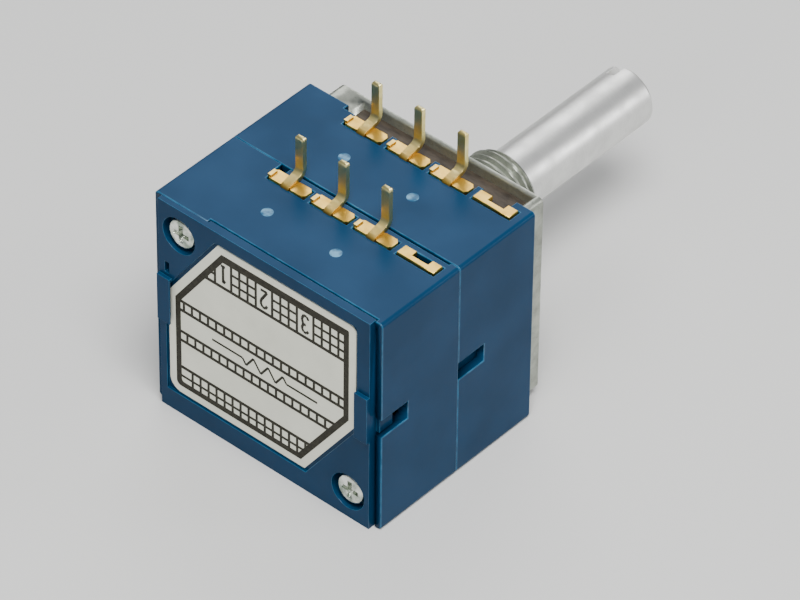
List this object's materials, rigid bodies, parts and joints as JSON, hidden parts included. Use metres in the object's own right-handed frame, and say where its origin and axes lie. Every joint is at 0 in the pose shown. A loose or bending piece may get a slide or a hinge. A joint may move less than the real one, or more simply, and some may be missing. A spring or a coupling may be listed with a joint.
{
  "type": "rotary potentiometer",
  "caption": "Two-gang rotary potentiometer with blue plastic housings, cast front plate, threaded panel bush with nut, slotted shaft and gold circuit-board pins.",
  "frame": {"origin": "where the shaft's axis meets the panel seat, the front face of the round boss on the front plate", "axes": "-Y along the shaft, out towards the knob; +Z the way the terminal pins point, with the part lying on the flat face opposite them; +X towards the locating pin"},
  "size_m": [0.0264, 0.05, 0.0285],
  "materials": {
    "cast_zinc": "die-cast zinc, dull grey with a slight green cast, faint mottling, satin",
    "zinc_plated_steel": "zinc-plated steel, pale grey-green, satin",
    "bright_zinc_steel": "bright zinc-plated steel",
    "turned_aluminium": "turned aluminium, satin, fine turning lines round the axis",
    "spring_steel": "dark spring steel",
    "blue_plastic": "moulded blue plastic, semi-gloss, lighter along rubbed edges",
    "label_paper": "off-white printed label, satin",
    "phenolic": "brown phenolic paper laminate",
    "carbon_print": "printed carbon track, matt black",
    "silver_print": "printed silver ring",
    "white_acetal": "natural white acetal",
    "spring_brass": "bare spring brass",
    "gold_plate": "gold-plated brass, bright"
  },
  "bodies": {
    "body": {"front_plate": "cast_zinc", "thrust_washer": "spring_brass", "insulator": "phenolic", "front_housing": "blue_plastic", "rear_housing": "blue_plastic", "rear_cover": "blue_plastic", "label": "label_paper", "cover_screws": "bright_zinc_steel", "front_board": "phenolic", "front_track": "carbon_print", "front_collector": "silver_print", "rear_board": "phenolic", "rear_track": "carbon_print", "rear_collector": "silver_print", "front_terminal_1": "gold_plate", "front_terminal_2": "gold_plate", "front_terminal_3": "gold_plate", "front_terminal_blank": "gold_plate", "rear_terminal_1": "gold_plate", "rear_terminal_2": "gold_plate", "rear_terminal_3": "gold_plate", "rear_terminal_blank": "gold_plate"},
    "washer": {"washer": "zinc_plated_steel"},
    "nut": {"hex_nut": "zinc_plated_steel"},
    "spindle": {"shaft": "turned_aluminium", "retaining_ring": "spring_steel", "stop_plate": "zinc_plated_steel", "front_rotor": "white_acetal", "front_wiper": "spring_brass", "rear_rotor": "white_acetal", "rear_wiper": "spring_brass"}
  },
  "joints": [
    {"name": "shaft_turn", "type": "hinge", "parent": "body", "child": "spindle", "pos_m": [0, 0, 0], "axis": [0, 1, 0], "range_deg": [-150, 150]},
    {"name": "washer_slide", "type": "slide", "parent": "body", "child": "washer", "axis": [0, -1, 0], "range_m": [0, 0.00525]},
    {"name": "nut_turn", "type": "hinge", "parent": "washer", "child": "nut", "pos_m": [0, 0, 0], "axis": [0, -1, 0], "range_deg": [0, 2520]}
  ],
  "couplings": [
    {"joint": "nut_turn", "follows": "washer_slide", "rad_per_m": 8377.6}
  ]
}
